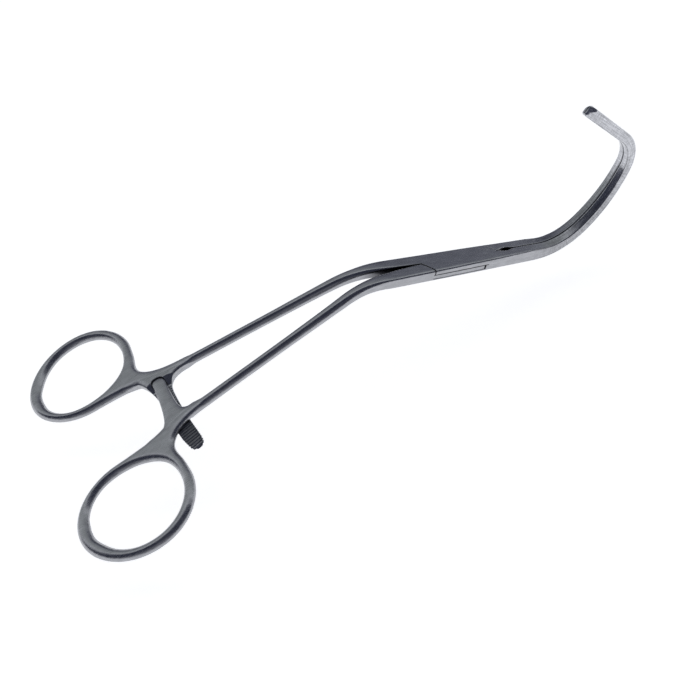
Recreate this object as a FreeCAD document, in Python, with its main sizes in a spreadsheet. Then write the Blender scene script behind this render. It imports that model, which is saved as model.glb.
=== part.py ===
import FreeCAD, Part
import Sketcher
import math
import os

V = FreeCAD.Vector

# Hooked vascular clamp: two forged halves crossing in a box lock, one riveted pin,
# finger rings, a ratchet, shanks bent out of the ring plane and jaws that rise and
# hook back. Millimetres. The bodies are built in the lock frame: origin at the pin
# centre, X distal along the lock, Y across it towards the box half's ring, Z along
# the pin. One placement then lays the closed clamp down on its two rings and jaws.

doc = FreeCAD.newDocument("clamp")
sheet = doc.addObject("Spreadsheet::Sheet", "dims")

CELLS = [
    # name, value, meaning
    ("pin_from_bend", 40.0, "pin centre, distal of the shank bend"),
    ("bend_angle", 30.15, "shanks against the lock, degrees"),
    ("bend_radius", 30.0, "radius of the shank bend"),
    ("ring_major", 17.0, "finger ring, half length of its centreline"),
    ("ring_minor", 14.6, "finger ring, half width of its centreline"),
    ("ring_rod", 4.6, "finger ring, rod width in the ring plane"),
    ("ring_thick", 3.7, "finger ring, rod thickness"),
    ("ring_round", 1.45, "finger ring, edge rounding"),
    ("ring_u", -93.34, "ring centre along the handle"),
    ("ring_v", 28.1, "ring centre from the middle plane"),
    ("ring_turn", 5.86, "ring axis against the handle, degrees"),
    ("shank_wide", 4.2, "shank width"),
    ("shank_web", 7.2, "shank width where it widens into the ring"),
    ("shank_neck", 5.0, "shank width at the ratchet"),
    ("shank_thin", 3.7, "shank thickness at the ring"),
    ("shank_mid", 4.1, "shank thickness half way"),
    ("shank_round", 1.35, "shank edge rounding"),
    ("lock_thick", 4.8, "lock thickness"),
    ("bar_prox", -74.05, "lower ratchet bar, proximal edge along the handle"),
    ("bar_dist", -68.75, "lower ratchet bar, distal edge"),
    ("arm_prox", -74.0, "upper ratchet bar, proximal edge"),
    ("arm_dist", -69.5, "upper ratchet bar, distal edge"),
    ("bar_out", 1.85, "outer faces of the two bars from the parting plane"),
    ("bar_in", 0.45, "roots of the teeth from the parting plane"),
    ("tooth_height", 0.4, "ratchet tooth height"),
    ("tooth_run", 0.9, "ratchet tooth length along the bar"),
    ("tooth_angle", 0.56, "ratchet tooth pitch about the pin, degrees"),
    ("tooth_count", 24.0, "teeth on the lower bar"),
    ("arm_tooth_count", 5.0, "teeth on the upper bar"),
    ("bar_root", 5.6, "both bars, root angle inside their shank, degrees about the pin"),
    ("bar_tip", 12.85, "lower bar, tip angle"),
    ("arm_tip", 4.6, "upper bar, tip angle"),
    ("relief_gap", 0.03, "relief faces from the parting plane"),
    ("relief_prox", -74.9, "relief under the crossing shank, proximal"),
    ("relief_dist", -68.0, "relief under the crossing shank, distal"),
    ("seat_prox", -74.8, "seat of the upper bar's tip, proximal"),
    ("seat_dist", -68.7, "seat of the upper bar's tip, distal"),
    ("seat_angle", 5.0, "seat of the upper bar's tip, angle about the pin"),
    ("lock_back", 28.0, "lock, proximal section plane from the pin"),
    ("lock_front", 26.0, "lock, distal section plane from the pin"),
    ("half_back", 5.15, "half width at the proximal section plane"),
    ("half_shoulder", 4.85, "half width at the shoulders"),
    ("half_pin", 4.6, "half width at the pin"),
    ("half_far", 4.4, "half width past the plate edge"),
    ("half_front", 3.85, "half width at the distal section plane"),
    ("split_back", 0.84, "half gap between the shanks at the section plane"),
    ("split", 0.1, "half gap between the closed halves"),
    ("eye_half", 0.8, "half width of the eye between the jaw roots"),
    ("eye_from", 18.0, "eye, start from the pin"),
    ("eye_mid", 21.0, "eye, widest"),
    ("eye_to", 24.5, "eye, end"),
    ("edge_ax", 16.2, "plate edge, point a"),
    ("edge_bx", 15.0, "plate edge, point b"),
    ("edge_by", 1.5, "plate edge, point b across"),
    ("edge_cx", 13.75, "plate edge, point c"),
    ("edge_cy", 3.2, "plate edge, point c across"),
    ("edge_dx", 13.2, "plate edge, point d"),
    ("edge_dy", 4.3, "plate edge, point d across"),
    ("edge_ex", 12.95, "plate edge, point e"),
    ("step_ax", 16.4, "shoulder of the inner half, point a"),
    ("step_bx", 15.17, "shoulder, point b"),
    ("step_by", 1.62, "shoulder, point b across"),
    ("step_cx", 13.92, "shoulder, point c"),
    ("step_cy", 3.28, "shoulder, point c across"),
    ("step_dx", 13.37, "shoulder, point d"),
    ("step_dy", 4.36, "shoulder, point d across"),
    ("step_ex", 13.12, "shoulder, point e"),
    ("slot_radius", 10.5, "slot end walls, radius about the pin"),
    ("slot_high", 1.7, "slot height"),
    ("slot_mid", -0.45, "slot middle height"),
    ("slot_reach", 18.0, "slot pockets, reach from the pin"),
    ("slot_side", 7.0, "slot pockets, reach across"),
    ("plate_high", 1.6, "tongue plate thickness"),
    ("plate_side", 4.3, "tongue plate half width"),
    ("plate_ax", 10.36, "tongue plate end, point a"),
    ("plate_bx", 10.1, "tongue plate end, point b"),
    ("plate_by", 2.2, "tongue plate end, point b across"),
    ("plate_cx", 9.42, "tongue plate end, point c"),
    ("plate_reach", 17.0, "tongue plate, reach into the shoulders"),
    ("pin_radius", 1.7, "rivet radius"),
    ("pin_play", 0.05, "running clearance of the tongue on the rivet"),
    ("pin_edge", 0.15, "rivet edge chamfer"),
    ("jaw_one_radius", 22.5, "jaw, first bend radius"),
    ("jaw_one_angle", 52.96, "jaw, first bend, degrees"),
    ("jaw_two_radius", 43.2, "jaw, second bend radius"),
    ("jaw_two_angle", 32.8, "jaw, second bend, degrees"),
    ("jaw_three_radius", 12.8, "jaw, hook bend radius"),
    ("jaw_three_angle", 68.6, "jaw, hook bend, degrees"),
    ("jaw_straight", 75.56, "start of the first bend from the shank bend"),
    ("jaw_tip_run", 26.2, "straight tip length"),
    ("jaw_half_root", 3.85, "jaws together, half width at the root"),
    ("jaw_half_low", 3.35, "half width at the first bend"),
    ("jaw_half_mid", 2.95, "half width half way up"),
    ("jaw_half_hook", 2.35, "half width at the hook"),
    ("jaw_half_tip", 1.5, "half width at the tip"),
    ("jaw_deep_root", 4.8, "jaw depth at the root"),
    ("jaw_deep_low", 5.0, "jaw depth at the first bend"),
    ("jaw_deep_mid", 3.8, "jaw depth half way up"),
    ("jaw_deep_hook", 3.6, "jaw depth at the hook"),
    ("jaw_deep_tip", 3.7, "jaw depth at the tip"),
    ("jaw_round", 0.8, "jaw edge rounding"),
    ("jaw_round_tip", 0.55, "jaw edge rounding at the tip"),
    ("rest_tilt", 17.494, "lock against the table, degrees"),
    ("rest_x", 38.297, "laid down: shift along X"),
    ("rest_z", 14.172, "laid down: lift"),
]
D = {}
for i, (name, value, note) in enumerate(CELLS):
    row = i + 1
    sheet.set("A%d" % row, name)
    sheet.set("B%d" % row, repr(value))
    sheet.set("C%d" % row, note)
    sheet.setAlias("B%d" % row, name)
doc.recompute()
for name, value, note in CELLS:
    D[name] = float(sheet.get(name))


# ---- numbers with the expression that drives them
class Num:
    def __init__(self, value, expr):
        self.value = value
        self.expr = expr


def cell(name):
    return Num(D[name], "dims." + name)


def neg(name):
    return Num(-D[name], "-dims." + name)


def mix(a, b, k):
    return Num(D[a] * (1 - k) + D[b] * k,
               "dims.%s * %.6f + dims.%s * %.6f" % (a, 1 - k, b, k))


def sub(p, q):
    return Num(p.value - q.value, "(%s) - (%s)" % (p.expr, q.expr))


def scaled(p, k):
    return Num(p.value * k, "(%s) * %.6f" % (p.expr, k))


def origin_part(body, role):
    for o in body.Origin.OriginFeatures:
        if o.Role == role:
            return o
    raise RuntimeError("no " + role)


def frame_at(base, xdir, ydir):
    z = xdir.cross(ydir)
    m = FreeCAD.Matrix(xdir.x, ydir.x, z.x, base.x,
                       xdir.y, ydir.y, z.y, base.y,
                       xdir.z, ydir.z, z.z, base.z,
                       0, 0, 0, 1)
    return FreeCAD.Placement(m)


def new_sketch(body, name, offset):
    sk = body.newObject("Sketcher::SketchObject", name)
    sk.AttachmentSupport = [(origin_part(body, "XY_Plane"), "")]
    sk.MapMode = "FlatFace"
    sk.AttachmentOffset = offset
    return sk


def bind(sk, constraint, label, num):
    i = sk.addConstraint(constraint)
    sk.renameConstraint(i, label)
    sk.setExpression("Constraints." + label, num.expr)


# rounded rectangle centred on the sketch origin
def rounded(body, name, offset, wide, high, rnd):
    sk = new_sketch(body, name, offset)
    w, h, r = wide.value / 2.0, high.value / 2.0, rnd.value
    n = V(0, 0, 1)
    line = Part.LineSegment

    def arc(cx, cy, a0):
        return Part.ArcOfCircle(Part.Circle(V(cx, cy, 0), n, r),
                                math.radians(a0), math.radians(a0 + 90))
    sk.addGeometry([
        line(V(-w + r, -h, 0), V(w - r, -h, 0)), arc(w - r, -h + r, -90),
        line(V(w, -h + r, 0), V(w, h - r, 0)), arc(w - r, h - r, 0),
        line(V(w - r, h, 0), V(-w + r, h, 0)), arc(-w + r, h - r, 90),
        line(V(-w, h - r, 0), V(-w, -h + r, 0)), arc(-w + r, -h + r, 180)], False)
    C = Sketcher.Constraint
    for i in range(8):
        sk.addConstraint(C("Tangent", i, 2, (i + 1) % 8, 1))
    sk.addConstraint([C("Horizontal", 0), C("Horizontal", 4), C("Vertical", 2), C("Vertical", 6),
                      C("Equal", 1, 3), C("Equal", 1, 5), C("Equal", 1, 7),
                      C("Symmetric", 1, 3, 5, 3, -1, 1)])
    bind(sk, C("Radius", 1, r), "rnd", rnd)
    bind(sk, C("DistanceX", 6, 1, 2, 1, 2 * w), "wide", wide)
    bind(sk, C("DistanceY", 0, 1, 4, 1, 2 * h), "high", high)
    return sk


# closed polygon whose corners are pairs of driven numbers
def polygon(body, name, offset, corners):
    sk = new_sketch(body, name, offset)
    pts = [V(x.value, y.value, 0) for x, y in corners]
    n = len(pts)
    sk.addGeometry([Part.LineSegment(pts[i], pts[(i + 1) % n]) for i in range(n)], False)
    C = Sketcher.Constraint
    for i in range(n):
        sk.addConstraint(C("Coincident", i, 2, (i + 1) % n, 1))
    for i, (x, y) in enumerate(corners):
        bind(sk, C("DistanceX", -1, 1, i, 1, x.value), "x%d" % i, x)
        bind(sk, C("DistanceY", -1, 1, i, 1, y.value), "y%d" % i, y)
    return sk


def circle(body, name, offset, radius):
    sk = new_sketch(body, name, offset)
    sk.addGeometry(Part.Circle(V(0, 0, 0), V(0, 0, 1), radius.value), False)
    sk.addConstraint(Sketcher.Constraint("Coincident", 0, 3, -1, 1))
    bind(sk, Sketcher.Constraint("Radius", 0, radius.value), "radius", radius)
    return sk


def symmetric(body, kind, name, sk, length):
    f = body.newObject("PartDesign::" + kind, name)
    f.Profile = sk
    f.SideType = "Symmetric"
    f.Length = length.value
    f.setExpression("Length", length.expr)
    doc.recompute()
    return f


def loft(body, name, sections):
    f = body.newObject("PartDesign::AdditiveLoft", name)
    f.Profile = sections[0]
    f.Sections = sections[1:]
    f.Ruled = False
    f.Closed = False
    doc.recompute()
    return f


# ---- where things lie in the lock frame
A = math.radians(D["bend_angle"])
CA, SA = math.cos(A), math.sin(A)
PX = D["pin_from_bend"]
FLAT = FreeCAD.Placement()


def handle(u, v, w):
    return V(CA * u - SA * w - PX, v, SA * u + CA * w)


U_DIR = V(CA, 0, SA)
W_DIR = V(-SA, 0, CA)


def about_pin(vec, deg):
    return FreeCAD.Rotation(V(0, 0, 1), deg).multVec(vec)


# centreline in the middle plane: q < 0 along the handle, q > 0 along the lock and jaws
BEND_T = D["bend_radius"] * math.tan(A / 2)


def centre(q):
    if q <= -BEND_T:
        return CA * q - PX, SA * q, A
    if q < BEND_T:
        half = D["bend_radius"] * A / 2
        k = (q + BEND_T) / (2 * BEND_T)
        psi = A * (1 - k)
        x = -BEND_T * CA + D["bend_radius"] * (SA - math.sin(psi))
        z = -BEND_T * SA + D["bend_radius"] * (math.cos(psi) - CA)
        return x - PX, z, psi
    return q - PX, 0.0, 0.0


JAW_ARCS = [(D["jaw_one_radius"], math.radians(D["jaw_one_angle"])),
            (D["jaw_two_radius"], math.radians(D["jaw_two_angle"])),
            (D["jaw_three_radius"], math.radians(D["jaw_three_angle"]))]


def jaw_centre(s):
    x, z, a = D["jaw_straight"] - PX, 0.0, 0.0
    if s <= D["jaw_straight"]:
        return s - PX, 0.0, 0.0
    s -= D["jaw_straight"]
    for r, ang in JAW_ARCS:
        step = min(s, r * ang)
        b = a + step / r
        x += r * (math.sin(b) - math.sin(a))
        z += r * (math.cos(a) - math.cos(b))
        a = b
        s -= step
        if s <= 1e-9:
            return x, z, a
    return x + s * math.cos(a), z + s * math.sin(a), a


def across(x, y, z, heading):
    return frame_at(V(x, y, z), V(0, 1, 0), V(-math.sin(heading), 0, math.cos(heading)))


REST = FreeCAD.Placement(V(D["rest_x"], 0, D["rest_z"]),
                         FreeCAD.Rotation(V(0, 1, 0), D["rest_tilt"]))


def body_named(name):
    b = doc.addObject("PartDesign::Body", name)
    b.Label = name
    return b


# ---- finger ring with the root that grows into the shank
def finger_ring(name, side):
    body = body_named(name)
    turn = math.radians(D["ring_turn"]) * side
    xdir = U_DIR * math.cos(turn) + V(0, 1, 0) * math.sin(turn)
    ydir = W_DIR.cross(xdir)
    sk = new_sketch(body, name + "_ovals",
                    frame_at(handle(D["ring_u"], side * D["ring_v"], 0), xdir, ydir))
    C = Sketcher.Constraint
    for k, out in ((0, 1.0), (1, -1.0)):
        a = D["ring_major"] + out * D["ring_rod"] / 2
        b = D["ring_minor"] + out * D["ring_rod"] / 2
        g = sk.addGeometry(Part.Ellipse(V(a, 0, 0), V(0, b, 0), V(0, 0, 0)), False)
        sk.exposeInternalGeometry(g)
        sk.addConstraint(C("Coincident", g, 3, -1, 1))
        sk.addConstraint(C("Horizontal", g + 1))
        tail = "+" if out > 0 else "-"
        bind(sk, C("Distance", g + 1, 2 * a), "long%d" % k,
             Num(2 * a, "2 * dims.ring_major %s dims.ring_rod" % tail))
        bind(sk, C("Distance", g + 2, 2 * b), "wide%d" % k,
             Num(2 * b, "2 * dims.ring_minor %s dims.ring_rod" % tail))
    pad = symmetric(body, "Pad", name + "_blank", sk, cell("ring_thick"))
    edges = ["Edge%d" % (i + 1) for i, e in enumerate(pad.Shape.Edges)
             if not isinstance(e.Curve, Part.Line)]
    fil = body.newObject("PartDesign::Fillet", name + "_round")
    fil.Base = (pad, edges)
    fil.Radius = D["ring_round"]
    fil.setExpression("Radius", "dims.ring_round")
    doc.recompute()
    rows = [(-74.0, 7.4, 14.6), (-78.0, 10.2, 16.9), (-84.0, 10.9, 16.5), (-91.0, 11.5, 15.2)]
    secs = []
    for i, (u, lo, hi) in enumerate(rows):
        x, z, a = centre(u)
        wide = cell("shank_web") if i == 0 else Num(hi - lo, "%.3f" % (hi - lo))
        thick = cell("shank_thin") if i == 0 else Num(D["shank_thin"] - 0.15, "dims.shank_thin - 0.15")
        secs.append(rounded(body, "%s_root%d" % (name, i),
                            across(x, side * (lo + hi) / 2, z, a), wide, thick,
                            cell("shank_round")))
    loft(body, name + "_root", secs)
    return body


# ---- shank from the ring through the bend to the lock
def shank(name, side):
    body = body_named(name)
    t = BEND_T
    rows = [(-74.0, 11.0, cell("shank_web"), cell("shank_thin")),
            (-70.0, 9.95, cell("shank_neck"), cell("shank_thin")),
            (-64.0, 9.08, mix("shank_wide", "shank_neck", 0.15), mix("shank_thin", "shank_mid", 0.2)),
            (-48.0, 7.72, cell("shank_wide"), mix("shank_thin", "shank_mid", 0.6)),
            (-28.0, 6.05, cell("shank_wide"), cell("shank_mid")),
            (-t, 4.42, cell("shank_wide"), mix("shank_mid", "lock_thick", 0.5)),
            (-t / 3, 3.88, cell("shank_wide"), mix("shank_mid", "lock_thick", 0.7)),
            (t / 3, 3.5, cell("shank_wide"), mix("shank_mid", "lock_thick", 0.85)),
            (t, 3.22, Num(4.28, "dims.shank_wide + 0.08"), mix("shank_mid", "lock_thick", 0.95)),
            (12.0, 2.995, Num(D["half_back"] - D["split_back"], "dims.half_back - dims.split_back"),
             cell("lock_thick"))]
    secs = []
    for i, (q, y, wide, thick) in enumerate(rows):
        x, z, a = centre(q)
        secs.append(rounded(body, "%s_s%d" % (name, i), across(x, side * y, z, a),
                            wide, thick, cell("shank_round")))
    loft(body, name + "_bar", secs)
    return body


def bar_frame(deg):
    return frame_at(about_pin(handle(0, 0, 0), deg), about_pin(U_DIR, deg), about_pin(W_DIR, deg))


def rectangle_uw(body, name, deg, u0, u1, w0, w1):
    return polygon(body, name, bar_frame(deg), [(u0, w0), (u1, w0), (u1, w1), (u0, w1)])


def turned(body, kind, name, sk, angle, wanted):
    f = body.newObject("PartDesign::" + kind, name)
    f.Profile = sk
    f.ReferenceAxis = (origin_part(body, "Z_Axis"), [""])
    f.Angle = angle.value
    f.setExpression("Angle", angle.expr)
    doc.recompute()
    if not wanted(f):
        f.Reversed = True
        doc.recompute()
    if not wanted(f):
        raise RuntimeError(name + " turns the wrong way")
    return f


# ratchet bars: revolved about the pin, so they slide past each other as the clamp opens
def ratchet_bar(name, start, stop, low, up, u0, u1, tooth_sign, first, count_cell):
    body = body_named(name + "_blank")
    sk = rectangle_uw(body, name + "_section", start, u0, u1, low, up)
    span = Num(abs(stop - start), "dims.bar_root + dims.%s" % ("bar_tip" if tooth_sign > 0 else "arm_tip"))
    middle = math.radians((start + stop) / 2)

    def right_way(f):
        c = f.Shape.CenterOfMass
        return abs(math.atan2(-c.y, -c.x) - middle) < 0.02
    turned(body, "Revolution", name + "_sweep", sk, span, right_way)
    base = bar_frame(first)
    rot = base.Rotation
    u_hat = rot.multVec(V(1, 0, 0))
    w_hat = rot.multVec(V(0, 1, 0))
    v_hat = w_hat.cross(u_hat)
    root_w = -D["bar_in"] * tooth_sign
    origin = base.Base + u_hat * (u0.value + 0.1) + w_hat * root_w
    h, run, sink = cell("tooth_height"), cell("tooth_run"), 0.15
    s = tooth_sign
    corners = [(Num(0, "0"), Num(-sink * s, "%.3f" % (-sink * s))),
               (run, Num(-sink * s, "%.3f" % (-sink * s))),
               (scaled(run, 0.92), Num(0.0, "0")),
               (scaled(run, 0.25), scaled(h, float(s))),
               (scaled(run, 0.05), scaled(h, float(s)))]
    tooth = polygon(body, name + "_tooth", frame_at(origin, v_hat, w_hat), corners)
    pad = body.newObject("PartDesign::Pad", name + "_tooth_pad")
    pad.Profile = tooth
    length = sub(Num(u1.value - u0.value, "(%s) - (%s)" % (u1.expr, u0.expr)), Num(0.2, "0.2"))
    pad.Length = length.value
    pad.setExpression("Length", length.expr)
    if v_hat.cross(w_hat).dot(u_hat) < 0:
        pad.Reversed = True
    doc.recompute()
    pat = body.newObject("PartDesign::PolarPattern", name + "_teeth")
    pat.Originals = [pad]
    pat.Axis = (origin_part(body, "Z_Axis"), [""])
    pat.Occurrences = int(D[count_cell])
    pat.Angle = D["tooth_angle"] * (D[count_cell] - 1)
    pat.setExpression("Occurrences", "dims." + count_cell)
    pat.setExpression("Angle", "dims.tooth_angle * (dims.%s - 1)" % count_cell)
    body.Tip = pat
    doc.recompute()
    return body


box_ring = finger_ring("box_finger_ring", 1)
tongue_ring = finger_ring("tongue_finger_ring", -1)
box_shank = shank("box_shank", 1)
tongue_shank = shank("tongue_shank", -1)

# the tongue half's shank is relieved underneath, where the lower bar passes
before = tongue_shank.Shape.Volume
sk = rectangle_uw(tongue_shank, "relief_section", 0.0, cell("relief_prox"), cell("relief_dist"),
                  Num(-4.0, "-4"), cell("relief_gap"))
turned(tongue_shank, "Groove", "relief", sk, Num(360.0, "360"),
       lambda f: f.Shape.Volume < before - 20)

# the box half's shank has a seat for the upper bar's tip
before_box = box_shank.Shape.Volume
sk = rectangle_uw(box_shank, "seat_section", -D["seat_angle"], cell("seat_prox"), cell("seat_dist"),
                  neg("relief_gap"), Num(4.0, "4"))
turned(box_shank, "Groove", "seat", sk, cell("seat_angle"),
       lambda f: f.Shape.Volume < before_box - 2)

lower = ratchet_bar("box_ratchet_bar", -D["bar_root"], D["bar_tip"], neg("bar_out"), neg("bar_in"),
                    cell("bar_prox"), cell("bar_dist"), 1, -1.2, "tooth_count")
upper = ratchet_bar("tongue_ratchet_bar", D["bar_root"], -D["arm_tip"], cell("bar_in"), cell("bar_out"),
                    cell("arm_prox"), cell("arm_dist"), -1, -4.3, "arm_tooth_count")


def mirror_pt(p):
    return Num(-p.value, "-(%s)" % p.expr)


# ---- the box: full thickness outline, slot for the tongue, rivet hole
box = body_named("lock_box")
outline = [(neg("lock_back"), cell("split_back")), (neg("edge_ax"), cell("split")),
           (neg("edge_bx"), neg("edge_by")), (neg("edge_cx"), neg("edge_cy")),
           (neg("edge_dx"), neg("edge_dy")), (neg("edge_ex"), neg("half_shoulder")),
           (Num(0, "0"), neg("half_pin")), (cell("edge_cx"), neg("half_far")),
           (cell("lock_front"), neg("half_front")), (cell("lock_front"), neg("split")),
           (cell("eye_to"), neg("split")), (cell("eye_mid"), neg("eye_half")),
           (cell("eye_from"), neg("split")), (cell("edge_ax"), neg("split")),
           (cell("edge_bx"), cell("edge_by")), (cell("edge_cx"), cell("edge_cy")),
           (cell("edge_dx"), cell("half_far")), (Num(0, "0"), cell("half_pin")),
           (neg("edge_dx"), cell("half_shoulder")), (neg("lock_back"), cell("half_back"))]
symmetric(box, "Pad", "box_blank", polygon(box, "box_outline", FLAT, outline), cell("lock_thick"))
mid = FreeCAD.Placement(V(0, 0, D["slot_mid"]), FreeCAD.Rotation())
v0 = box.Shape.Volume
symmetric(box, "Pocket", "slot_round", circle(box, "slot_circle", mid, cell("slot_radius")), cell("slot_high"))
symmetric(box, "Pocket", "slot_back",
          polygon(box, "slot_back_outline", mid,
                  [(neg("slot_reach"), cell("split")), (Num(-1, "-1"), cell("split")),
                   (Num(-1, "-1"), neg("slot_side")), (neg("slot_reach"), neg("slot_side"))]),
          cell("slot_high"))
symmetric(box, "Pocket", "slot_front",
          polygon(box, "slot_front_outline", mid,
                  [(cell("slot_reach"), neg("split")), (Num(1, "1"), neg("split")),
                   (Num(1, "1"), cell("slot_side")), (cell("slot_reach"), cell("slot_side"))]),
          cell("slot_high"))
v1 = box.Shape.Volume
symmetric(box, "Pocket", "rivet_hole", circle(box, "rivet_hole_circle", FLAT, cell("pin_radius")),
          Num(20.0, "20"))
if not (v1 < v0 - 200 and box.Shape.Volume < v1 - 5):
    raise RuntimeError("the slot or the rivet hole cut nothing")

# ---- the tongue: two full-thickness shoulders joined by a thin plate
tongue = body_named("lock_tongue")
back = [(neg("lock_back"), neg("split_back")), (neg("lock_back"), neg("half_back")),
        (neg("step_ex"), neg("half_shoulder")), (neg("step_dx"), neg("step_dy")),
        (neg("step_cx"), neg("step_cy")), (neg("step_bx"), neg("step_by")),
        (neg("step_ax"), neg("split"))]
front = [(cell("lock_front"), cell("split")), (cell("lock_front"), cell("half_front")),
         (cell("step_dx"), cell("half_far")), (cell("step_cx"), cell("step_cy")),
         (cell("step_bx"), cell("step_by")), (cell("step_ax"), cell("split")),
         (cell("eye_from"), cell("split")), (cell("eye_mid"), cell("eye_half")),
         (cell("eye_to"), cell("split"))]
plate = [(neg("plate_reach"), neg("split")), (neg("plate_ax"), neg("split")),
         (neg("plate_bx"), cell("plate_by")), (neg("plate_cx"), cell("plate_side")),
         (cell("plate_reach"), cell("half_front")), (cell("plate_reach"), cell("split")),
         (cell("plate_ax"), cell("split")), (cell("plate_bx"), neg("plate_by")),
         (cell("plate_cx"), neg("plate_side")), (neg("plate_reach"), neg("plate_side"))]
symmetric(tongue, "Pad", "plate", polygon(tongue, "plate_outline", mid, plate), cell("plate_high"))
symmetric(tongue, "Pad", "shoulder_back", polygon(tongue, "shoulder_back_outline", FLAT, back),
          cell("lock_thick"))
symmetric(tongue, "Pad", "shoulder_front", polygon(tongue, "shoulder_front_outline", FLAT, front),
          cell("lock_thick"))
v0 = tongue.Shape.Volume
symmetric(tongue, "Pocket", "pivot_hole",
          circle(tongue, "pivot_hole_circle", FLAT,
                 Num(D["pin_radius"] + D["pin_play"], "dims.pin_radius + dims.pin_play")),
          Num(20.0, "20"))
if not tongue.Shape.Volume < v0 - 5:
    raise RuntimeError("the pivot hole cut nothing")

# ---- the rivet
pin = body_named("pivot_pin")
shaft = symmetric(pin, "Pad", "rivet", circle(pin, "rivet_circle", FLAT, cell("pin_radius")),
                  cell("lock_thick"))
rims = ["Edge%d" % (i + 1) for i, e in enumerate(shaft.Shape.Edges) if isinstance(e.Curve, Part.Circle)]
ch = pin.newObject("PartDesign::Chamfer", "rivet_edges")
ch.Base = (shaft, rims)
ch.Size = D["pin_edge"]
ch.setExpression("Size", "dims.pin_edge")
doc.recompute()


# ---- jaws
def jaw(name, side):
    body = body_named(name)
    s0 = D["lock_front"] + PX
    s1 = D["jaw_straight"]
    a1 = D["jaw_one_radius"] * JAW_ARCS[0][1]
    a2 = D["jaw_two_radius"] * JAW_ARCS[1][1]
    a3 = D["jaw_three_radius"] * JAW_ARCS[2][1]
    low_run = s1 + a1 + a2
    end = low_run + a3 + D["jaw_tip_run"]
    runs = [[s0 + (low_run - s0) * k / 12 for k in range(13)],
            [low_run + a3 * k / 6 for k in range(7)],
            [low_run + a3, end]]
    knots = [(s0, "root"), (s1 + 2, "low"), (s1 + a1 + a2 * 0.9, "mid"), (s1 + a1 + a2 + a3 * 0.8, "hook"), (end, "tip")]
    for n, stops in enumerate(runs):
        secs = []
        for i, s in enumerate(stops):
            for (p, pn), (q, qn) in zip(knots[:-1], knots[1:]):
                if s <= q + 1e-6:
                    k = max(0.0, min(1.0, (s - p) / (q - p)))
                    half = mix("jaw_half_" + pn, "jaw_half_" + qn, k)
                    deep = mix("jaw_deep_" + pn, "jaw_deep_" + qn, k)
                    break
            x, z, a = jaw_centre(s)
            wide = sub(half, cell("split"))
            y = side * (half.value + D["split"]) / 2
            r = mix("jaw_round", "jaw_round_tip", (s - s0) / (end - s0))
            secs.append(rounded(body, "%s_%d_s%d" % (name, n, i), across(x, y, z, a), wide, deep, r))
        loft(body, "%s_run%d" % (name, n), secs)
    return body


box_jaw = jaw("box_jaw", -1)
tongue_jaw = jaw("tongue_jaw", 1)

# ---- lay the clamp down; bars end on their shanks
for b in (box_ring, tongue_ring, box_shank, tongue_shank, lower, upper, box, tongue, pin, box_jaw, tongue_jaw):
    b.Placement = REST
doc.recompute()
bars = []
for name, blank, root in (("box_ratchet_bar", lower, box_shank), ("tongue_ratchet_bar", upper, tongue_shank)):
    cut = doc.addObject("Part::Cut", name)
    cut.Label = name
    cut.Base = blank
    cut.Tool = root
    bars.append(cut)
doc.recompute()

pieces = [box_ring, box_shank, bars[0], box, box_jaw, pin,
          tongue_ring, tongue_shank, bars[1], tongue, tongue_jaw]
for o in doc.Objects:
    for bad in ("Invalid", "Error"):
        if bad in o.State:
            raise RuntimeError("%s is %s" % (o.Name, bad))
os.makedirs("parts", exist_ok=True)
for p in pieces:
    s = p.Shape
    if s.isNull() or not s.isValid() or len(s.Solids) != 1:
        raise RuntimeError("%s: null, invalid or not one solid (%d)" % (p.Label, len(s.Solids)))
    print("%-20s volume %8.1f mm3  box %s" % (p.Label, s.Volume, s.BoundBox))
    s.exportStep("parts/%s.step" % p.Label)
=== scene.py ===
import math

import bpy
import numpy as np
from mathutils import Matrix, Vector


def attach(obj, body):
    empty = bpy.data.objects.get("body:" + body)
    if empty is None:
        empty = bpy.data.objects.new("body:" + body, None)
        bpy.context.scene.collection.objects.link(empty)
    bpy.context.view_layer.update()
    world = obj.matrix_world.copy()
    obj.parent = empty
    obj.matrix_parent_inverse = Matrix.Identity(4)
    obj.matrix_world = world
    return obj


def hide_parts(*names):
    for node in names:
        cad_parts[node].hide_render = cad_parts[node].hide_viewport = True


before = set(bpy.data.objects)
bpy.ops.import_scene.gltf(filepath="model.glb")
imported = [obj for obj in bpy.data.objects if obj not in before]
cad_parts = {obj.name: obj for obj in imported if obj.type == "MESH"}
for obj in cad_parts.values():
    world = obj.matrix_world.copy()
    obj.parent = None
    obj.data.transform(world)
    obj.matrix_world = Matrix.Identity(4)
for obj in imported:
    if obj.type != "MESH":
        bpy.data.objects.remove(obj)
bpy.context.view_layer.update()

# ------------------------------------------------------------------ where things lie
# Lock frame, millimetres: origin at the pin, X distal, Z along the pin. The forging is
# drawn unrolled: q runs along the middle line (negative on the handle, positive past
# the shank bend), y across the clamp, n through its thickness.
TILT = math.radians(17.494)
REST_X, REST_Z = 38.297, 14.172
BEND = math.radians(30.15)
CB, SB = math.cos(BEND), math.sin(BEND)
PIN = 40.0
BEND_R = 30.0
BEND_T = BEND_R * math.tan(BEND / 2)
JAW_START = 75.56
JAW_ARCS = ((22.5, math.radians(52.96)), (43.2, math.radians(32.8)), (12.8, math.radians(68.6)))
JAW_END = JAW_START + sum(r * a for r, a in JAW_ARCS) + 26.2
BAR_R = 101.9


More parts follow.
